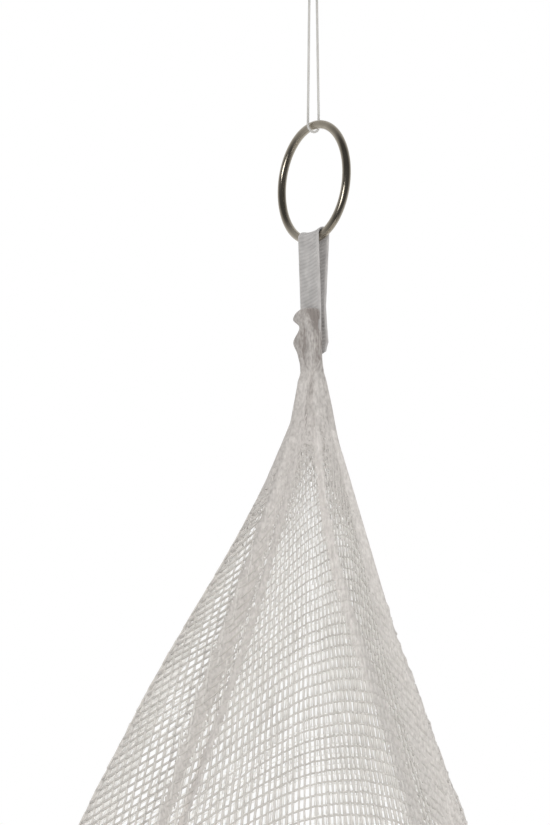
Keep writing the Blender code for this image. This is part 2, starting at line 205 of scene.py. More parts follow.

# The pleats, where many layers of net lie on each other: each one's place as a share of the reach and its
# half width (mm) at these drops, and its painted shade, how pale it is on the creases' scale.
PLEAT_DROPS = (0.010, 0.0375, 0.066, 0.081, 0.095, 0.110, 0.131, 0.200)
Pleat = namedtuple("Pleat", "shares halves shade")
WIDE_PLEAT = Pleat((-0.70, -0.67, -0.61, -0.615, -0.623, -0.63, -0.635, -0.64),
                   (1.4, 2.2, 3.0, 3.1, 2.4, 1.7, 1.4, 1.1), 0.15)
NARROW_PLEAT = Pleat((-0.45, -0.478, -0.474, -0.49, -0.513, -0.54, -0.56, -0.56),
                     (0.7, 0.9, 1.1, 1.15, 1.15, 1.15, 1.15, 1.15), 0.20)
RIGHT_PLEAT = Pleat((0.10, 0.19, 0.415, 0.52, 0.61, 0.64, 0.655, 0.66),
                    (0.9, 1.2, 1.6, 1.8, 2.0, 2.1, 2.2, 2.2), 0.60)
RIGHT_EDGE = Pleat((0.90, 0.90, 0.89, 0.88, 0.87, 0.87, 0.87, 0.88),
                   (0.8, 1.5, 2.6, 3.2, 3.8, 4.3, 4.8, 6.0), 1.05)
PLEATS = (WIDE_PLEAT, NARROW_PLEAT, RIGHT_PLEAT, RIGHT_EDGE)
PLEAT_TOP_DROP, PLEAT_BOTTOM_DROP, PLEAT_INSET = 0.014, 0.192, 0.14 * MM
PLEAT_SHREDS = 1.3  # how far its shreds reach, in half widths
PLEAT_ACROSS, PLEAT_LEVELS = 9, 80

# The inner layer that the pleats at the neck keep hidden: its size as a share of the outer layer's, and
# the drop that it reaches, unevenly.
INNER_SIZE, INNER_DROP, INNER_SHORTEST = 0.80, 0.020, 0.3

SHEET_COLUMNS = 220
SHEET_UPRIGHT, SHEET_BAR = 0.13, 0.105  # half the threads' widths, as shares of the pitches
SHEET_THICK_TOP, SHEET_EASES_ROWS = 1.5, 4.0  # wider at its top and painted darker there as shade, down to 4 times as many rows
SHEET_PER_COLUMN, SHEET_LEVELS = 2, 110
SHEET_BUNCHES_UP = 1.7  # how much closer the sheet's levels are at its top
HEM_TALL, HEM_THICK, HEM_ROUND = 20.0 * MM, 1.6 * MM, 0.5 * MM
STITCH_LONG, STITCH_PITCH, STITCH_THICK = 2.6 * MM, 3.6 * MM, 0.5 * MM
STITCH_DOWN, STITCH_OUT, STITCH_DIPS = 3.0 * MM, 0.1 * MM, 0.3 * MM

# The yarn is painted paler on the net's far side, as painted light, and painted darker at the neck, as
# painted shade: full down to the first drop, and no more at the second.
FAR_PAINTED_LIGHT_YARN, FAR_PAINTED_LIGHT_DEEP = (0.84, 0.83, 0.81), 6.0 * MM
NECK_PAINTED_SHADE_YARN, NECK_PAINTED_SHADE_DROPS = (0.56, 0.535, 0.51), (0.012, 0.050)
FIBRES = 2500.0

# How far each moves the tone of the pressed layers, the last by their painted shade, and how a noise of about
# a half cuts their shreds.
PATCHES, MARKS, DARKER, BY_PAINTED_SHADE = 0.45, 0.75, -0.16, 0.24
SHREDS_DOWN, SHREDS_ACROSS = (2.4, -0.75), (2.2, -0.6)

FLOOR_Z = NECK_Z - NET_DROP - 22.0 * MM
FLOOR_R, FLOOR_SIDES = 25.0, 96
AROUND_LEVEL = 0.42
MIRRORED = ((0.30, 0.09), (0.95, 0.90))  # the room in the metal, from the viewer's side to the far one

SEED = 11


# Helpers

def linked(thing):
    """Adds an object to the scene."""
    bpy.context.scene.collection.objects.link(thing)
    return thing


def piece(name, node, shape, finish):
    """A mesh of these points and faces that rides on the canopy's one body and stands for a CAD node."""
    points, faces = shape
    mesh = bpy.data.meshes.new(name)
    mesh.from_pydata(np.asarray(points).tolist(), [], faces)
    mesh.validate()
    mesh.shade_smooth()
    mesh.materials.append(finish)
    made = linked(bpy.data.objects.new(name, mesh))
    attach(made, "root")
    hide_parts(node)
    return made


def mark(made, name, values):
    """Gives each of a piece's points a value that its material reads."""
    made.data.attributes.new(name, "FLOAT", "POINT").data.foreach_set("value", np.ravel(values))


def corner_points(made):
    """Which of a piece's points is at each corner of its faces."""
    corners = np.empty(len(made.data.loops), dtype=int)
    made.data.loops.foreach_get("vertex_index", corners)
    return corners


def unwrap(made, name, u, v):
    """Gives each corner of a piece's faces a place on a flat map."""
    made.data.uv_layers.new(name=name).data.foreach_set("uv", np.stack((u, v), axis=-1).ravel())


def unit(vectors):
    """The vectors at length one."""
    return vectors / np.maximum(np.linalg.norm(vectors, axis=-1, keepdims=True), 1e-9)


def along_tape(along, out, z):
    """Points given in the tape's directions: along its width, out from its face, and height."""
    c, s = math.cos(RING_TURN), math.sin(RING_TURN)
    along, out, z = np.broadcast_arrays(np.asarray(along, float), out, z)
    return np.stack((along * c + out * s, along * s - out * c, z), axis=-1)


def runs_along(line):
    """How far along the line each of its points is."""
    return np.concatenate(([0.0], np.cumsum(np.linalg.norm(np.diff(line, axis=0), axis=1))))


def respaced(line, step):
    """The line with points this far apart, and how far along they are."""
    runs = runs_along(line)
    places = np.linspace(0, runs[-1], max(2, round(runs[-1] / step)))
    return np.stack([np.interp(places, runs, line[:, k]) for k in range(3)], axis=1), places


def tubes(lines, beside, thick, sides=THREAD_SIDES, profile=None):
    """Points and faces of closed tubes along lines of equal count. beside is a direction that isn't
    along them, and profile gives each ring's radii as shares of half the thickness."""
    ahead = unit(np.gradient(lines, axis=1))
    side = unit(np.cross(ahead, beside))
    up = np.cross(side, ahead)
    turns = 2 * math.pi * (np.arange(sides) + 0.5) / sides
    half = np.broadcast_to(np.asarray(thick, float) / 2, lines.shape[:2])[..., None, None]
    if profile is not None:
        half = half * profile[..., None]
    rings = lines[:, :, None] + half * (np.cos(turns)[:, None] * up[:, :, None]
                                        + np.sin(turns)[:, None] * side[:, :, None])
    number = np.arange(rings.size // 3).reshape(rings.shape[:3])
    near, far = number[:, :-1], number[:, 1:]
    walls = np.stack((near, far, np.roll(far, -1, axis=2), np.roll(near, -1, axis=2)), axis=-1)
    faces = walls.reshape(-1, 4).tolist()
    faces += number[:, 0].tolist() + number[:, -1, ::-1].tolist()
    return rings.reshape(-1, 3), faces


def loft(rings, closed=True, capped=False):
    """Points and faces through rings of points, top to bottom."""
    levels, count = rings.shape[:2]
    number = np.arange(levels * count).reshape(levels, count)
    if closed:
        after = np.roll(number, -1, axis=1)
    else:
        number, after = number[:, :-1], number[:, 1:]
    faces = np.stack((number[:-1], number[1:], after[1:], after[:-1]), axis=-1).reshape(-1, 4).tolist()
    if capped:
        faces += [number[0].tolist(), number[-1, ::-1].tolist()]
    return rings.reshape(-1, 3), faces


# Materials

class Nodes:
    """The node tree of a material or world, with short calls for what repeats."""

    def __init__(self, owner):
        self.owner = owner
        owner.use_nodes = True
        self.tree = owner.node_tree

    def add(self, kind, inputs=None, **settings):
        """A node with these settings; a linked input is given as an output socket."""
        node = self.tree.nodes.new(kind)
        for key, value in settings.items():
            setattr(node, key, value)
        return self.fill(node, inputs or {})

    def fill(self, node, inputs):
        """Gives a node's inputs their values, or the outputs that they take."""
        for key, value in inputs.items():
            if isinstance(value, bpy.types.NodeSocket):
                self.tree.links.new(value, node.inputs[key])
            else:
                node.inputs[key].default_value = value
        return node

    def surface(self, inputs):
        """The material, with these inputs of its shader."""
        self.fill(self.tree.nodes["Principled BSDF"], inputs)
        return self.owner

    def math(self, operation, *values):
        """The result of a Math node."""
        return self.add("ShaderNodeMath", dict(enumerate(values)), operation=operation).outputs[0]

    def place(self, scale=(1.0, 1.0, 1.0)):
        """The object's own coordinates, scaled."""
        where = self.add("ShaderNodeTexCoord").outputs["Object"]
        return self.add("ShaderNodeMapping", {"Vector": where, "Scale": scale}).outputs[0]

    def axis(self, vector, name):
        """One coordinate of a vector."""
        return self.add("ShaderNodeSeparateXYZ", {"Vector": vector}).outputs[name]

    def noise(self, vector, scale, detail=3.0):
        """A noise value."""
        return self.add("ShaderNodeTexNoise", {"Vector": vector, "Scale": scale, "Detail": detail,
                                               "Roughness": 0.55}).outputs["Fac"]

    def share(self, value, low, high, clamp=True):
        """How far a value is from low to high."""
        return self.add("ShaderNodeMapRange", {"Value": value, "From Min": low, "From Max": high},
                        clamp=clamp).outputs[0]

    def mixed(self, share, first, second):
        """The first colour, and this share of the second."""
        return self.add("ShaderNodeMix", {"Factor": share, "A": first, "B": second},
                        data_type="RGBA").outputs["Result"]

    def ramp(self, value, *stops):
        """A colour ramp through (position, colour) stops."""
        node = self.add("ShaderNodeValToRGB", {"Fac": value})
        elements = node.color_ramp.elements
        while len(elements) < len(stops):
            elements.new(0.5)
        for element, (position, colour) in zip(elements, stops):
            element.position = position
            element.color = (*colour, 1.0)
        return node.outputs["Color"]

    def bump(self, height, distance, strength):
        """The normal on a height."""
        return self.add("ShaderNodeBump", {"Height": height, "Distance": distance,
                                           "Strength": strength}).outputs[0]


def material_nodes(name):
    """A new material's nodes."""
    return Nodes(bpy.data.materials.new(name))


def yarn_finish(name, dark, light, fibres=FIBRES, netted=False):
    """Textile yarn with uneven tone and fine fibres. The net's fades to painted light on its far side and to
    painted shade at its neck.
    """
    nodes = material_nodes(name)
    where = nodes.place()
    colour = nodes.ramp(nodes.noise(where, 120.0), (0.3, dark), (0.7, light))
    if netted:
        # painted light: the far side's yarn is paler; painted shade: the neck's yarn is darker
        far = nodes.share(nodes.axis(where, "Y"), 0.0, FAR_PAINTED_LIGHT_DEEP)
        high, low = (NECK_Z - drop for drop in NECK_PAINTED_SHADE_DROPS)
        neck = nodes.share(nodes.axis(where, "Z"), low, high)
        colour = nodes.mixed(neck, nodes.mixed(far, colour, (*FAR_PAINTED_LIGHT_YARN, 1.0)), (*NECK_PAINTED_SHADE_YARN, 1.0))
    return nodes.surface({
        "Base Color": colour, "Roughness": 0.72, "Sheen Weight": 0.15,
        "Normal": nodes.bump(nodes.noise(where, fibres, 2.0), 0.05 * MM, 0.6)})


def net_sheet_finish():
    """The knit as holes in a sheet. U counts columns and V counts rows, and the columns double as the
    net widens."""
    nodes = material_nodes("net_sheet")
    where = nodes.add("ShaderNodeTexCoord").outputs["UV"]
    columns, rows = nodes.axis(where, "X"), nodes.axis(where, "Y")
    widened = nodes.math("LOGARITHM", nodes.math("DIVIDE", rows, float(THREAD_ROWS)), 2.0)
    doublings = nodes.math("FLOOR", nodes.math("ADD", widened, 0.5))
    columns = nodes.math("MULTIPLY", columns, nodes.math("POWER", 2.0, doublings))
    eased = nodes.share(rows, float(THREAD_ROWS), SHEET_EASES_ROWS * THREAD_ROWS)
    thick = nodes.math("MULTIPLY_ADD", eased, 1.0 - SHEET_THICK_TOP, SHEET_THICK_TOP)
    upright, bar = (
        nodes.math("LESS_THAN", nodes.math("PINGPONG", count, 0.5), nodes.math("MULTIPLY", thick, half))
        for count, half in ((columns, SHEET_UPRIGHT), (rows, SHEET_BAR)))
    tone = nodes.noise(nodes.place(), 6.0)
    # painted shade: the upper rows are darker, as the threads above are in their own shadow
    upper = nodes.ramp(tone, (0.3, (0.58, 0.56, 0.535)), (0.7, (0.66, 0.64, 0.61)))
    lower = nodes.ramp(tone, (0.3, (0.70, 0.68, 0.65)), (0.7, (0.78, 0.76, 0.73)))
    return nodes.surface({"Base Color": nodes.mixed(eased, upper, lower), "Roughness": 0.75,
                          "Sheen Weight": 0.2, "Alpha": nodes.math("MAXIMUM", upright, bar)})


def pressed_finish(name, alpha_of):
    """Layers of the net pressed together, with painted shade on their creases by how deep they are, and a
    painted tone of light or shade for each pleat.
    """
    nodes = material_nodes(name)
    stretched = nodes.place((1.0, 1.0, 0.5))
    tone = nodes.math("MULTIPLY_ADD", nodes.noise(stretched, 700.0, 4.0), PATCHES, DARKER)
    tone = nodes.math("MULTIPLY_ADD", nodes.noise(stretched, 1500.0, 1.0), MARKS, tone)
    # painted shade from the creases: hollows darker, ridges and pleats paler by their given amounts
    shaded_crease = nodes.add("ShaderNodeAttribute", attribute_name="shaded_crease").outputs["Fac"]
    tone = nodes.math("MULTIPLY_ADD", shaded_crease, BY_PAINTED_SHADE, tone)
    colour = nodes.ramp(tone, (0.02, (0.24, 0.215, 0.20)), (0.35, (0.44, 0.415, 0.395)),
                        (0.65, (0.57, 0.54, 0.515)), (0.95, (0.72, 0.69, 0.66)))
    knit = nodes.add("ShaderNodeTexVoronoi", {"Vector": nodes.place((1.0, 1.0, 0.6)), "Scale": 1300.0})
    relief = nodes.math("MULTIPLY_ADD", nodes.noise(nodes.place(), 2200.0), 0.5, knit.outputs["Distance"])
    return nodes.surface({"Base Color": colour, "Roughness": 0.8, "Sheen Weight": 0.2,
                          "Alpha": alpha_of(nodes), "Normal": nodes.bump(relief, 0.16 * MM, 0.8)})


def shredding_down(nodes):
    """Whole at the neck, and thinning out into separate shreds further down, soonest in two columns."""
    where = nodes.place()
    whole = nodes.share(nodes.axis(where, "Z"), NECK_Z - CORE_DROP, NECK_Z - CORE_THINS_DROP, clamp=False)
    for middle, wide, opening in CORE_OPENINGS:
        over = nodes.math("DIVIDE", nodes.math("SUBTRACT", nodes.axis(where, "X"), middle), wide)
        near = nodes.math("EXPONENT", nodes.math("MULTIPLY", nodes.math("MULTIPLY", over, over), -1.0))
        whole = nodes.math("MULTIPLY_ADD", near, -opening, whole)
    shreds = nodes.noise(nodes.place((1.0, 0.0, 0.5)), 1700.0, 1.0)  # the same on the far side
    return nodes.math("GREATER_THAN", whole, nodes.math("MULTIPLY_ADD", shreds, *SHREDS_DOWN))


def shredding_across(nodes):
    """Whole along the pleat's middle, and thinning out towards its edges."""
    across = nodes.axis(nodes.add("ShaderNodeTexCoord").outputs["UV"], "X")
    inwards = nodes.math("MULTIPLY", nodes.math("PINGPONG", across, 0.5), 4.0)
    shreds = nodes.noise(nodes.place((1.0, 1.0, 0.5)), 1500.0, 1.0)
    return nodes.math("GREATER_THAN", inwards, nodes.math("MULTIPLY_ADD", shreds, *SHREDS_ACROSS))


def tape_finish():
    """Pale grosgrain: the ribs are modelled, with painted shade darkening the grooves in between, the threads
    across them are bump.
    """
    nodes = material_nodes("tape_grosgrain")
    where = nodes.place()
    # painted shade between the ribs, read from the points
    rib_shade = nodes.add("ShaderNodeAttribute", attribute_name="rib_shade").outputs["Fac"]
    tone = nodes.math("MULTIPLY_ADD", rib_shade, BY_RIB_SHADE, nodes.noise(where, 300.0))
    return nodes.surface({
        "Base Color": nodes.ramp(tone, (0.2, (0.30, 0.288, 0.283)), (0.8, (0.485, 0.47, 0.46))),
        "Roughness": 0.55, "Sheen Weight": 0.3,
        "Normal": nodes.bump(nodes.noise(where, 3000.0, 2.0), 0.05 * MM, 0.5)})


def nickel_finish():
    """Polished nickel plating, slightly yellow, with fine wear."""
    nodes = material_nodes("ring_nickel")
    where = nodes.place()
    tone = nodes.noise(where, 180.0)
    return nodes.surface({
        "Base Color": nodes.ramp(tone, (0.35, (0.40, 0.36, 0.29)), (0.7, (0.52, 0.47, 0.39))),
        "Metallic": 1.0,
        "Roughness": nodes.math("MULTIPLY_ADD", nodes.noise(where, 900.0, 4.0), 0.16, 0.10),
        "Normal": nodes.bump(nodes.noise(where, 1600.0, 2.0), 0.01 * MM, 0.4)})


def floor_finish():
    """A plain pale floor."""
    nodes = material_nodes("floor_pale")
    tone = nodes.noise(nodes.place(), 0.7)
    return nodes.surface({
        "Base Color": nodes.ramp(tone, (0.3, (0.86, 0.86, 0.85)), (0.7, (0.89, 0.89, 0.88))),
        "Roughness": 0.9})


# Camera and string

def make_camera():
    """The camera at the photo's viewing angle."""
    data = bpy.data.cameras.new("camera")
    data.lens = CAMERA_LENS
    data.clip_start = 0.01
    camera = linked(bpy.data.objects.new("camera", data))
    camera.location = CAMERA_PLACE
    camera.rotation_euler = (math.pi / 2 + CAMERA_PITCH, 0, 0)
    bpy.context.scene.camera = camera


def string_line():
    """The string's middle line: down its front leg, under the ring's wire and up its back leg."""
    bend = WIRE / 2 + GAP + STRING / 2
    bend_z, top_z, top_out = RING_Z + RING_R, KNOT_BOTTOM_Z - GAP, STRING / 2 + GAP / 2
    shares = np.arange(LEG_POINTS) / LEG_POINTS
    leg_out, leg_z = top_out + (bend - top_out) * shares, top_z + (bend_z - top_z) * shares
    turns = np.linspace(0, math.pi, BEND_POINTS)
    out = np.concatenate((leg_out, bend * np.cos(turns), -leg_out[::-1]))
    return along_tape(0, out, np.concatenate((leg_z, bend_z - bend * np.sin(turns), leg_z[::-1])))


def twisted_string(line, finish):
    """A string of plies laid round each other along a line, and its length."""
    sides = 4 * STRING_PLIES
    line, places = respaced(line, STRING_STEP)
    turns = 2 * math.pi * (np.arange(sides) + 0.5) / sides
    twist = turns[None] * STRING_PLIES / 2 - math.pi * STRING_PLIES * places[:, None] / STRING_PITCH
    profile = PLY_LOW + PLY_RISE * np.abs(np.cos(twist))
    shape = tubes(line[None], along_tape(1.0, 0.0, 0.0), STRING, sides, profile[None])
    return piece("string_twisted", "string", shape, finish), float(places[-1])


def knot_line():
    """An overhand turn of the doubled string, fattest half way up, and the loop above it, as one line."""
    low, high = KNOT_BOTTOM_Z, KNOT_BOTTOM_Z + KNOT_TALL
    shares = np.linspace(0, 1, KNOT_POINTS)
    turns = 2 * math.pi * KNOT_TURNS * shares
    wide = (KNOT_WIDE - STRING) / 2 * (0.72 + 0.28 * np.sin(math.pi * shares))
    coil = np.stack((wide * np.cos(turns), wide * np.sin(turns),
                     low + 0.4 * MM + (high - low - 1.2 * MM) * shares), axis=-1)
    top, start = STRING / 2, high - 0.8 * MM
    turns = 2 * math.pi * np.arange(1, LOOP_POINTS) / LOOP_POINTS
    wide = LOOP_WIDE / 2 * (0.75 - 0.25 * np.cos(turns))
    loop = np.stack((-wide * np.sin(turns), 0 * turns,
                     (top + start) / 2 - (top - start) / 2 * np.cos(turns)), axis=-1)
    ends = np.array(((0.5 * MM, 0.0, low), (0.4 * MM, 0.3 * MM, high - 2.4 * MM)))
    return np.concatenate((ends[:1], coil, loop, ends[1:]))


def make_string(finish):
    """The doubled string and its knot."""
    string, length = twisted_string(string_line(), finish)
    line, _ = respaced(knot_line(), STRING_STEP)
    shape = tubes(line[None], np.array((0.11, 0.97, 0.21)), STRING, 3 * STRING_PLIES)
    knot = piece("string_knot", "knot", shape, finish)
    string_line().tolist()


# Ring

def make_ring(finish):
    """The round-wire ring, finer than its solid."""
    around = 2 * math.pi * np.arange(RING_STEPS) / RING_STEPS
    turns = 2 * math.pi * np.arange(WIRE_STEPS) / WIRE_STEPS
    reach = RING_R + WIRE / 2 * np.cos(turns)[None]
    points = along_tape(reach * np.cos(around)[:, None], WIRE / 2 * np.sin(turns)[None],
                        RING_Z + reach * np.sin(around)[:, None])
    number = np.arange(RING_STEPS * WIRE_STEPS).reshape(RING_STEPS, WIRE_STEPS)
    ahead, after = np.roll(number, -1, axis=0), np.roll(number, -1, axis=1)
    faces = np.stack((number, after, np.roll(ahead, -1, axis=1), ahead), axis=-1).reshape(-1, 4).tolist()
    piece("ring_polished", "ring", (points.reshape(-1, 3), faces), finish)


# Tape

def tape_line(along):
    """The tape's middle line at this place across its width, as (out, z) pairs."""
    bend_z = RING_Z - math.sqrt(RING_R**2 - along**2)

    def parted(out, bend_out, share):
        return out + (bend_out - out) * share, TAPE_PARTS_Z + (bend_z - TAPE_PARTS_Z) * share

    turns = np.linspace(0, math.pi, TAPE_BEND_POINTS)
    return np.array([
        (TAPE_FRONT_OUT, TAPE_FRONT_END_Z),
        *(parted(TAPE_FRONT_OUT, TAPE_BEND, share) for share in TAPE_PARTS),
        *zip(TAPE_BEND * np.cos(turns), bend_z + TAPE_BEND * np.sin(turns)),
        *(parted(TAPE_TAIL_OUT, -TAPE_BEND, share) for share in reversed(TAPE_PARTS)),
        ((TAPE_TAIL_OUT + TAPE_TAIL_BULGE_OUT) / 2, TAPE_TAIL_BULGE_Z + TAPE_TAIL_BULGE_TALL),
        (TAPE_TAIL_BULGE_OUT, TAPE_TAIL_BULGE_Z),
        (TAPE_TAIL_OUT, TAPE_TAIL_END_Z - TAPE_TAIL_SLANT * (TAPE_WIDE / 2 - along)),
    ])


def make_tape(finish):
    """The ribbed tape over the bottom of the ring."""
    edge = np.array((0.0, 0.03, 0.07))
    across = np.concatenate((edge, np.linspace(0.09, 0.91, 11), 1 - edge[::-1])) - 0.5
    long = runs_along(tape_line(0.0))[-1]
    count = round(long / RIB_PITCH * LINES_PER_RIB)
    outer, inner, ribs = [], [], []
    for share in across:
        line = tape_line(share * TAPE_WIDE)
        runs = runs_along(line)
        places = np.linspace(0, runs[-1], count)
        out, z = (np.interp(places, runs, line[:, k]) for k in range(2))
        ahead = unit(np.stack((np.gradient(out), np.gradient(z)), axis=-1))
        skewed = places / places[-1] * long - RIB_SKEW * share * TAPE_WIDE
        wave = np.abs(np.sin(math.pi * skewed / RIB_PITCH))
        inwards = (0.5 - abs(share)) * TAPE_WIDE
        if inwards < SELVAGE:
            tall, tone = TAPE_THICK / 2 + SELVAGE_RISE, np.full(count, SELVAGE_TONE)
        else:
            # painted shade: darker in the grooves between the ribs
            tall, tone = TAPE_THICK / 2 + RIB_TALL * (wave - 0.5), wave - RIB_MIDDLE
        if inwards == 0:
            tall *= TAPE_EDGE_THICK
        ribs.append(tone)
        for side, sheet in ((tall, outer), (-tall, inner)):
            sheet.append(along_tape(share * TAPE_WIDE, out - side * ahead[:, 1], z + side * ahead[:, 0]))
    shape = loft(np.array(outer + inner[::-1]).transpose(1, 0, 2), capped=True)
    tape = piece("tape_grosgrain", "tape", shape, finish)
    mark(tape, "rib_shade", np.array(ribs + ribs[::-1]).T)


# The net's shape

def smooth_read(places, values, at):
    """Values read on a smooth curve through the places, which doesn't overshoot."""
    places, values = np.array(places), np.array(values)
    slopes = np.diff(values) / np.diff(places)
    rising = slopes[:-1] * slopes[1:] > 0
    joints = np.where(rising, 2 * slopes[:-1] * slopes[1:] / np.where(rising, slopes[:-1] + slopes[1:], 1), 0)
    joints = np.concatenate((slopes[:1], joints, slopes[-1:]))
    at = np.clip(at, places[0], places[-1])
    i = np.clip(np.searchsorted(places, at, side="right") - 1, 0, len(slopes) - 1)
    wide = places[i + 1] - places[i]
    t = (at - places[i]) / wide
    return (values[i] * (2 * t**3 - 3 * t**2 + 1) + values[i + 1] * (3 * t**2 - 2 * t**3)
            + wide * (joints[i] * (t**3 - 2 * t**2 + t) + joints[i + 1] * (t**3 - t**2)))


def read_rows(rows, at):
    """What a table's columns say at this place in its first column."""
    places, *columns = np.array(rows).T
    return [smooth_read(places, column, at) for column in columns]


def fold_rise(angles, drop):
    """How far the folds lift the net at these angles, as a share of its reach."""
    rise = np.zeros_like(angles)
    for fold in FOLDS:
        away = (angles - fold.angle + 180) % 360 - 180
        span = np.where(away < 0, fold.before, fold.after)
        full = fold.rise_neck + (fold.rise_hem - fold.rise_neck) * math.sqrt(drop / NET_DROP)
        if fold.starts > 0:
            full *= min(1.0, max(0.0, (drop - fold.starts) / FOLD_GROWS_OVER))
        inside = np.abs(away) < span
        rise += np.where(inside, full * 0.5 * (1 + np.cos(math.pi * away / span)), 0)
    return rise


def section(drop, angles):
    """The net's level at this drop, as horizontal (x, y) points."""
    leans = [fold.lean * math.exp(-drop / fold.fades) for fold in FOLDS]
    turned = angles + np.interp(angles, [fold.angle for fold in FOLDS], leans, period=360)
    c, s = np.cos(np.radians(turned)), np.sin(np.radians(turned))
    left, right, front, back = read_rows(REACH, drop)
    wide, deep = np.where(c > 0, right, left), np.where(s > 0, back, front)
    grown = 1 + fold_rise(angles, drop)
    return np.stack((wide * c * grown, deep * s * grown), axis=-1)


def level_points(drop, angles):
    """The net's level at this drop, as (x, y, z) points."""
    return np.column_stack((section(drop, angles), np.full(len(angles), NECK_Z - drop)))


FINE_ANGLES = np.arange(180, 540, 0.5)
HALF_WAY = len(FINE_ANGLES) // 2


def reach_shares(points):
    """How far over to its side each point of a level is, as a share of how far the level reaches."""
    x = points[..., 0]
    return x / np.where(x > 0, x.max(), -x.min())


OUTLINE_DROPS = np.linspace(0, 0.30, 101)
OUTLINE_X = np.array([section(drop, FINE_ANGLES)[:, 0] for drop in OUTLINE_DROPS])
OUTLINE = {"left": -OUTLINE_X.min(axis=1), "right": OUTLINE_X.max(axis=1)}


def outline(side, drops):
    """How far the net reaches to this side at these drops, folds included."""
    return np.interp(drops, OUTLINE_DROPS, OUTLINE[side])


def outline_beside(places, drops):
    """How far the net reaches on these places' own side, which is the right one above nought."""
    return np.where(places > 0, outline("right", drops), outline("left", drops))


def rows_at(shares, drops):
    """How many rows down from the neck these places are."""
    droop = smooth_read(*zip(*DROOP), shares) * MM * (1 - np.exp(-drops / DROOP_GROWS_OVER))
    tall = np.interp(shares, (0, 1), (ROW_LEFT, ROW_RIGHT))
    return (ROW_TURNS_DROP - droop) / ROW_LEFT + (drops - ROW_TURNS_DROP) / tall


def net_lines(drops, angles):
    """Lines down the net at these angles, and each point's place in rows."""
    levels = np.array([level_points(drop, angles) for drop in drops])
    shares = np.array([reach_shares(level) for level in levels])
    rows = np.maximum.accumulate(rows_at(shares, drops[:, None]) + 1e-6 * drops[:, None], axis=0)
    return levels.transpose(1, 0, 2), rows.T


def read_at(places, along, lines):
    """Lines of values read at these places along each. Both may be given once for all lines."""
    places = np.broadcast_to(places, (len(lines), np.shape(places)[-1]))
    along = np.broadcast_to(along, lines.shape[:2])
    return np.stack([[np.interp(*read) for read in zip(places, along, lines[..., k])]
                     for k in range(lines.shape[2])], axis=-1)


def left_columns(drops):
    """How far round the net the left layer's columns are at these drops."""
    columns = np.arange(-LEFT_COLUMNS, 1)[:, None]
    return (columns * LEFT_PITCH - LEFT_LEAN * (drops - PITCH_DROP)) / outline("left", drops)


def open_columns(drops, columns):
    """How far round the net the open layer's columns are at these drops, past its sides as well."""
    shares = np.linspace(-1.5, 1.5, 601)
    pitch = np.interp(shares, *zip(*PITCHES)) * MM
    counted = np.cumsum(outline_beside(shares, PITCH_DROP) / pitch) * (shares[1] - shares[0])
    counted -= np.interp(PITCH_ANCHOR, shares, counted)
    return np.interp(columns[:, None] / np.interp(drops, *zip(*SHOWING)), counted, shares)


def left_rows_at(across, drops):
    """How many of the left layer's rows down these places are, this far to the left."""
    return (drops - np.interp(drops, LEFT_FALL_DROPS, LEFT_FALLS) * across) / LEFT_ROW


def wrapped_levels(drops):
    """Each drop's level from behind its left side, round the front, to behind its right side, as how
    far round its points are (-1 at the left side, 1 at the right) and where they are."""
    quarter = HALF_WAY // 2
    order = np.arange(-quarter, HALF_WAY + quarter)
    levels = []
    for drop in drops:
        points = section(drop, FINE_ANGLES)[order]
        share = reach_shares(points)
        share[:quarter] = -2 - share[:quarter]
        share[-quarter:] = 2 - share[-quarter:]
        levels.append((np.maximum.accumulate(share), points))
    return levels


def points_round(around, drops, levels):
    """The points at these places round each level, one row of places to a level."""
    return np.array([np.column_stack((*(np.interp(row, places, points[:, k]) for k in range(2)),
                                      np.full(len(row), NECK_Z - drop)))
                     for row, drop, (places, points) in zip(around, drops, levels)])


def column_nodes(around, drops, levels, row_phase, left=False):
    """The knit's joints on these columns, which may be the left layer's: where they are, and how far
    round."""
    lines = points_round(around.T, drops, levels).transpose(1, 0, 2)
    lines = np.concatenate((lines, around[..., None]), axis=2)
    if left:
        rows, count = left_rows_at(-lines[..., 0], drops), LEFT_ROWS
    else:
        shares = np.sign(around) * (1 - np.abs(1 - np.abs(around)))
        rows, count = rows_at(np.clip(shares, -1, 1), drops), THREAD_ROWS
    nodes = read_at(np.arange(count + 1) + row_phase, np.maximum.accumulate(rows, axis=1), lines)
    return nodes[..., :3], nodes[..., 3]


def pleat_edge(pleat, drops, side):
    """Where the pleat's edge is at these drops, as a share of the reach. Its middle is at side 0, and
    its edges at -1 and 1."""
    centre = np.interp(drops, PLEAT_DROPS, pleat.shares)
    half = np.interp(drops, PLEAT_DROPS, pleat.halves) * MM
    return centre + side * half / outline_beside(centre, drops)


# The net's pieces

def thread_size(points, size):
    """The thread's thickness at these points, thinner on the far side and at the neck."""
    nearness = np.clip(0.5 - points[..., 1] / BACK_THINS_OVER, 0, 1)
    at_neck = np.interp(NECK_Z - points[..., 2], NECK_THIN_DROPS, (NECK_THIN, 1.0))
    return size * at_neck * (BACK_THIN + (1 - BACK_THIN) * nearness)


def neck_inset(points):
    """How far in the threads are at the neck, so that the pressed layers cover them there."""
    drop = NECK_Z - points[..., 2:]
    return NECK_INSET * np.exp(-np.maximum(drop / NECK_INSET_DROP, 0)**2)


def edge_inset(points):
    """How much further in the rows are at the net's sides, where the end columns cover them."""
    reach = outline_beside(points[..., 0], NECK_Z - points[..., 2])
    over = (np.abs(points[..., 0]) / reach - ROW_EDGE_STARTS) / (1 - ROW_EDGE_STARTS)
    return ROW_EDGE_INSET * np.clip(over, 0, 1)[..., None]


def shrunk(points, inset):
    """The points moved inwards by this much, though never to the middle."""
    reach = np.linalg.norm(points[..., :2], axis=-1, keepdims=True)
    moved = points.copy()
    moved[..., :2] *= np.maximum(0.05, 1 - inset / reach)
    return moved


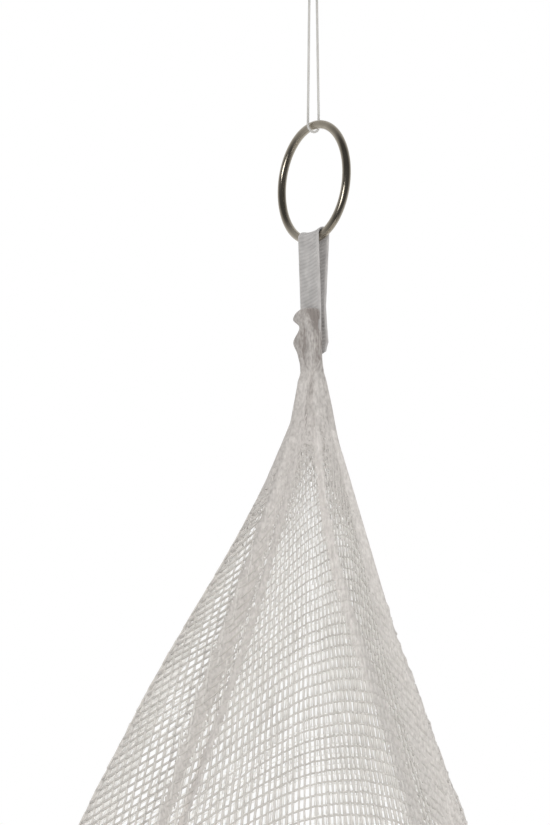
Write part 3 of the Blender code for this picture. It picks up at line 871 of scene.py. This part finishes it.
def knit_segments(nodes, kept=None, bars=False):
    """The threads between kept joints that are next to each other: uprights, and bars if asked for."""
    if kept is None:
        kept = np.ones(nodes.shape[:2], dtype=bool)
    uprights = np.stack((nodes[:, :-1], nodes[:, 1:]), axis=2)[kept[:, :-1] & kept[:, 1:]]
    if not bars:
        return uprights, np.empty((0, 2, 3))
    return uprights, np.stack((nodes[:-1], nodes[1:]), axis=2)[kept[:-1] & kept[1:]]


def front_threads(drops, levels):
    """The front's uprights, with the bars of its left layer and the columns at the net's sides."""
    nodes, around = column_nodes(left_columns(drops), drops, levels, 0, left=True)
    kept = (around > -1 - WRAP) & (around < pleat_edge(WIDE_PLEAT, NECK_Z - nodes[..., 2], LEFT_ENDS))
    found = [knit_segments(nodes, kept, bars=True)]
    columns = open_columns(drops, np.arange(-OPEN_COLUMNS, OPEN_COLUMNS + 1))
    nodes, around = column_nodes(columns, drops, levels, 0)
    drop = NECK_Z - nodes[..., 2]
    before_narrow = around < pleat_edge(NARROW_PLEAT, drop, -OPEN_ENDS)
    after_narrow = around > pleat_edge(NARROW_PLEAT, drop, OPEN_ENDS)
    kept = (around > pleat_edge(WIDE_PLEAT, drop, OPEN_ENDS)) & (around < 1 + WRAP)
    found.append(knit_segments(nodes, kept & (before_narrow | after_narrow)))
    for edge in (-1.0, 1.0):
        nodes, _ = column_nodes(np.full((1, len(drops)), edge), drops, levels, 0)
        found.append(knit_segments(nodes))
    return found


def inner_threads(drops, levels, draw):
    """The uprights and bars of the inner layer under the neck, which end unevenly."""
    fanned = np.arange(-INNER_COLUMNS, INNER_COLUMNS + 1) + 0.5
    nodes, around = column_nodes(open_columns(drops, fanned), drops, levels, 0.5)
    ends = INNER_DROP * draw.uniform(INNER_SHORTEST, 1.0, len(fanned))[:, None]
    kept = (np.abs(around) < 1) & (NECK_Z - nodes[..., 2] < ends)
    return [knit_segments(nodes * (INNER_SIZE, INNER_SIZE, 1), kept, bars=True)]


def back_threads(drops):
    """The far side's uprights."""
    lines, rows = net_lines(drops, 180 * (np.arange(BACK_COLUMNS) + 0.5) / BACK_COLUMNS)
    return [knit_segments(read_at(np.arange(THREAD_ROWS + 1), rows, lines))]


def row_lines(drops):
    """The rows as lines of equal count, from under the wide pleat round the net to its left side."""
    lines, rows = net_lines(drops, FINE_ANGLES[::2])
    loops = read_at(np.arange(THREAD_ROWS + 1), rows, lines).transpose(1, 0, 2)
    closed = np.concatenate((loops, loops[:, :1]), axis=1)
    drop = NECK_Z - closed[..., 2]
    shares = closed[..., 0] / outline("left", drop)
    past = (shares - pleat_edge(WIDE_PLEAT, drop, ROW_START))[:, :HALF_WAY // 2]
    row, last = np.arange(len(past)), (past < 0).sum(axis=1) - 1
    starts = last + past[row, last] / (past[row, last] - past[row, last + 1])
    count = closed.shape[1]
    return read_at(np.linspace(starts, count - 1, ROW_POINTS, axis=1), np.arange(count), closed)


def uneven(draw, spread, lines):
    """A thickness for each point of these lines that strays from one by up to the spread."""
    return draw.uniform(1 - spread, 1 + spread, lines.shape[:2])


def make_threads(upright_finish, bar_finish):
    """The knitted threads from the neck down past the photo's lower edge."""
    draw = np.random.default_rng(SEED)
    drops = np.concatenate((np.linspace(0, 0.03, 14), np.linspace(0.034, THREAD_DROP, 60)))
    levels = wrapped_levels(drops)
    found = front_threads(drops, levels) + inner_threads(drops, levels, draw) + back_threads(drops)

    runs = np.concatenate([uprights for uprights, _ in found])
    runs = shrunk(runs + draw.normal(0, UPRIGHT_STRAYS, runs.shape), UPRIGHT / 2 + neck_inset(runs))
    thick = thread_size(runs, UPRIGHT) * uneven(draw, UPRIGHT_UNEVEN, runs)
    uprights = piece("net_uprights", "net", tubes(runs, runs * (1, 1, 0), thick), upright_finish)

    loops = row_lines(drops)
    inset = BAR / 2 + neck_inset(loops) + edge_inset(loops)
    loops = shrunk(loops + draw.normal(0, BAR_STRAYS, loops.shape), inset)
    thick = thread_size(loops, BAR) * uneven(draw, BAR_UNEVEN, loops)
    crossbars = piece("net_crossbars", "net", tubes(loops, UPWARDS, thick), bar_finish)

    runs = np.concatenate([bars for _, bars in found])
    runs = shrunk(runs, BAR / 2 + neck_inset(runs))
    shape = tubes(runs, UPWARDS, BAR * uneven(draw, BAR_UNEVEN, runs))
    return uprights, crossbars, piece("net_inner_crossbars", "net", shape, bar_finish)


def make_pleats(finish):
    """The pleats' pressed layers, as narrow strips that the threads lie in."""
    drops = np.linspace(PLEAT_TOP_DROP, PLEAT_BOTTOM_DROP, PLEAT_LEVELS)
    levels = wrapped_levels(drops)
    size = PLEAT_ACROSS * PLEAT_LEVELS
    points, faces = [], []
    for k, pleat in enumerate(PLEATS):
        around = pleat_edge(pleat, drops[:, None], np.linspace(-PLEAT_SHREDS, PLEAT_SHREDS, PLEAT_ACROSS))
        strip, walls = loft(shrunk(points_round(around, drops, levels), PLEAT_INSET), closed=False)
        faces += (np.array(walls) + k * size).tolist()
        points.append(strip)
    pleats = piece("net_pleats", "net", (np.concatenate(points), faces), finish)
    # painted shade: each pleat's folded layers get their own paler or darker tone
    mark(pleats, "shaded_crease", np.repeat([pleat.shade for pleat in PLEATS], size))
    u = np.tile(np.linspace(0, 1, PLEAT_ACROSS), PLEAT_LEVELS * len(PLEATS))[corner_points(pleats)]
    unwrap(pleats, "across", u, u * 0)
    return pleats


def make_sheet(finish):
    """The net below its threads, as one sheet that carries the knit in its material."""
    drops = np.concatenate((np.linspace(0, 0.30, 90), np.linspace(0.315, NET_DROP - HEM_TALL, 90)))
    columns = np.arange(0, SHEET_COLUMNS, 1 / SHEET_PER_COLUMN)
    lines, rows = net_lines(drops, 180 + 360 * columns / SHEET_COLUMNS)
    shares = np.linspace(0, 1, SHEET_LEVELS) ** SHEET_BUNCHES_UP
    wanted = THREAD_ROWS + (rows[:, -1:] - THREAD_ROWS) * shares
    sheet = piece("net_sheet", "net", loft(read_at(wanted, rows, lines).transpose(1, 0, 2)), finish)
    corners = corner_points(sheet)
    u = np.tile(columns, SHEET_LEVELS)[corners].reshape(-1, 4)
    # a face that closes the circle ends on the last column's number, not on nought
    u[(u.max(axis=1) - u.min(axis=1) > 1)[:, None] & (u < 1)] = SHEET_COLUMNS
    unwrap(sheet, "knit", u.ravel(), wanted.T.ravel()[corners])
    return sheet


def make_hem(finish, stitch_finish):
    """The turned hem with its row of stitches."""
    count = SHEET_PER_COLUMN * SHEET_COLUMNS
    angles = 180 + 360 * np.arange(count) / count
    top, bottom = NET_DROP - HEM_TALL, NET_DROP
    rings = []
    for drop, out in ((top, 0.0), (top, 0.5), (bottom - HEM_ROUND, 0.5), (bottom, 0.0),
                      (bottom - HEM_ROUND, -0.5), (top, -0.5)):
        level = level_points(drop, angles)
        rings.append(level + unit(level * (1, 1, 0)) * (out - 0.5) * HEM_THICK)
    hem = piece("net_hem", "net", loft(np.array(rings + rings[:1])), finish)
    sewn = level_points(top, angles) - (0, 0, STITCH_DOWN)
    line, _ = respaced(np.append(sewn, sewn[:1], axis=0), STITCH_PITCH)
    half, out = unit(np.gradient(line, axis=0)) * STITCH_LONG / 2, unit(line * (1, 1, 0))
    middle, dips = line + out * STITCH_OUT, out * STITCH_DIPS
    runs = np.stack((middle - half - dips, middle, middle + half - dips), axis=1)
    return hem, piece("net_hem_stitches", "net", tubes(runs, UPWARDS, STITCH_THICK), stitch_finish)


def waving(angles, share):
    """How far the small pleats lift a ring at these angles, as a share of its reach."""
    return sum(wave.deep * np.cos(np.radians(wave.count * angles + wave.phase + wave.turn * share))
               for wave in WAVES)


def bunch_ring(z, angles):
    """The bunch's outline at this height, as (x, y) points in the directions of these angles."""
    middle_along, middle_out, half_along, half_out = (value * MM for value in read_rows(BUNCH, z / MM))
    turns = RING_TURN - np.radians(angles)
    along, out = middle_along + half_along * np.cos(turns), middle_out + half_out * np.sin(turns)
    return along_tape(along, out, z)[:, :2]


def away_from(path, x, z):
    """How far these places are from a path."""
    nearest = np.full(x.shape, np.inf)
    for (x0, z0), (x1, z1) in zip(path, path[1:]):
        run = (x1 - x0)**2 + (z1 - z0)**2
        share = np.clip(((x - x0) * (x1 - x0) + (z - z0) * (z1 - z0)) / run, 0, 1)
        nearest = np.minimum(nearest, np.hypot(x - x0 - share * (x1 - x0), z - z0 - share * (z1 - z0)))
    return nearest


def creased(rings):
    """The rings with the creases raised and sunk on the viewer's side, and their painted shade: paler on the
    ridges, darker in the hollows.
    The creases fade towards the sides."""
    x, y, z = (rings[..., k] for k in range(3))
    middle, half = (y.max(axis=1) + y.min(axis=1)) / 2, (y.max(axis=1) - y.min(axis=1)) / 2
    facing = np.clip((middle[:, None] - y) / half[:, None] * 1.5, 0, 1)
    rise, shade = np.zeros(x.shape), np.zeros(x.shape)
    for shaded_crease in CREASES:
        near = facing * np.exp(-(away_from(shaded_crease.path, x / MM, z / MM) / shaded_crease.wide)**2)
        rise += shaded_crease.rise * near * MM
        shade += shaded_crease.shade * near
    return np.stack((x, y - rise, z), axis=-1), shade


def make_bunch(finish):
    """The folded top of the net round the tape's end, and its pressed layers down the neck."""
    angles = 180 + 360 * np.arange(BUNCH_AROUND) / BUNCH_AROUND
    top, bottom = BUNCH[-1].z * MM, NECK_Z - CORE_DROP
    rings = []
    for z in np.linspace(top, bottom, BUNCH_LEVELS):
        drop = max(0.0, NECK_Z - z)
        below = np.interp(z, BUNCH_JOINS_Z, (1.0, 0.0))
        below = below * below * (3 - 2 * below)
        upper = bunch_ring(max(z, BUNCH[0].z * MM), angles)
        lower = section(drop, angles)
        lower = lower + unit(lower) * np.interp(drop, CORE_OUT_DROPS, CORE_OUT)
        ring = upper * (1 - below) + lower * below
        centre = ring.mean(axis=0)
        lift = 1 + waving(angles, (top - z) / WAVES_TURN_OVER)[:, None] * max(0.0, 1 - drop / CORE_WAVES_DROP)
        rings.append(np.column_stack((centre + (ring - centre) * lift, np.full(len(angles), z))))
    rings, shade = creased(np.array(rings))
    bunch = piece("net_bunch", "net", loft(rings, capped=True), finish)
    # painted shade: the creases' ridges paler and hollows darker, and the bunch above the neck darker than
    # the layers below
    mark(bunch, "shaded_crease", shade - BUNCH_PAINTED_SHADE * np.interp(rings[..., 2], BUNCH_JOINS_Z, (0.0, 1.0)))
    return bunch


def make_net(upright_finish, bar_finish, sheet_finish, bunch_finish, pleat_finish, hem_finish):
    """All that stands for the net's solid."""
    threads = (*make_threads(upright_finish, bar_finish), make_pleats(pleat_finish))
    sheet = make_sheet(sheet_finish)
    sewn = make_hem(hem_finish, bar_finish)
    bunch = make_bunch(bunch_finish)


# Surroundings

def make_floor():
    """A plain pale floor below the hem, which the metal doesn't mirror."""
    turns = 2 * math.pi * np.arange(FLOOR_SIDES) / FLOOR_SIDES
    points = FLOOR_R * np.stack((np.cos(turns), np.sin(turns), 0 * turns), axis=-1) + (0, 0, FLOOR_Z)
    mesh = bpy.data.meshes.new("floor")
    mesh.from_pydata(points.tolist(), [], [list(range(FLOOR_SIDES))])
    mesh.materials.append(floor_finish())
    floor = linked(bpy.data.objects.new("floor", mesh))
    floor.visible_glossy = False


def turn_to(light, away):
    """Turns a light so that it shines from this direction."""
    light.rotation_euler = (math.atan2(math.hypot(away[0], away[1]), away[2]), 0,
                            math.atan2(away[0], -away[1]))


def make_light(name, place, target, size, power, spread):
    """A square soft light aimed at a point."""
    data = bpy.data.lights.new(name, "AREA")
    data.size, data.energy, data.spread = size, power, math.radians(spread)
    light = linked(bpy.data.objects.new(name, data))
    light.location = place
    turn_to(light, np.subtract(place, target))


def make_soft_sun(name, away, power):
    """An even light from this direction without shadows, so that deep folds stay pale."""
    data = bpy.data.lights.new(name, "SUN")
    data.energy, data.angle, data.use_shadow = power, math.radians(20), False
    light = linked(bpy.data.objects.new(name, data))
    light.visible_glossy = False
    turn_to(light, away)


def make_world():
    """White behind the object, softer light around it, and a dim room for the metal to mirror."""
    world = bpy.data.worlds.new("studio")
    bpy.context.scene.world = world
    nodes = Nodes(world)
    seen = nodes.fill(nodes.tree.nodes["Background"], {"Color": (1, 1, 1, 1)})
    around = nodes.add("ShaderNodeBackground", {"Color": (1.0, 0.995, 0.985, 1), "Strength": AROUND_LEVEL})
    depth = nodes.axis(nodes.add("ShaderNodeTexCoord").outputs["Generated"], "Y")
    greys = [(position, (level, level, level)) for position, level in MIRRORED]
    room = nodes.ramp(nodes.math("MULTIPLY_ADD", depth, 0.5, 0.5), *greys)
    mirrored = nodes.add("ShaderNodeBackground", {"Color": room})
    path = nodes.add("ShaderNodeLightPath")
    light = around
    for ray, shown in (("Is Glossy Ray", mirrored), ("Is Camera Ray", seen)):
        light = nodes.add("ShaderNodeMixShader",
                          {0: path.outputs[ray], 1: light.outputs[0], 2: shown.outputs[0]})
    nodes.fill(nodes.tree.nodes["World Output"], {"Surface": light.outputs[0]})


def make_studio():
    """Floor, lights and world."""
    make_floor()
    make_light("key", (-2.2, -2.6, -1.2), (0, 0, -0.5), size=1.6, power=5, spread=70)
    make_soft_sun("soft_top", (0.0, -0.1, 1.0), 0.8)
    make_soft_sun("soft_front", (-0.5, -1.0, 0.3), 1.0)
    make_soft_sun("soft_right", (1.0, -0.5, 0.3), 1.05)
    make_soft_sun("soft_back", (0.4, 1.0, 0.4), 0.8)
    make_world()
    scene = bpy.context.scene
    scene.view_settings.view_transform = "Standard"
    scene.cycles.transparent_max_bounces = 40


def build():
    """The whole picture, camera and string first."""
    make_camera()
    upright = yarn_finish("net_upright_yarn", (0.575, 0.552, 0.524), (0.65, 0.627, 0.598), netted=True)
    # painted shade: the bars' yarn is a darker copy of the uprights', for their thicker knots
    bar = yarn_finish("net_bar_yarn_shaded", (0.48, 0.457, 0.43), (0.555, 0.532, 0.503), netted=True)
    make_string(yarn_finish("string_twist", (0.44, 0.43, 0.41), (0.57, 0.56, 0.54)))
    make_ring(nickel_finish())
    make_tape(tape_finish())
    make_net(upright, bar, net_sheet_finish(), pressed_finish("net_gathered", shredding_down),
             pressed_finish("net_pleats", shredding_across),
             yarn_finish("net_hem", (0.74, 0.72, 0.69), (0.82, 0.80, 0.77), 900.0))
    make_studio()


build()
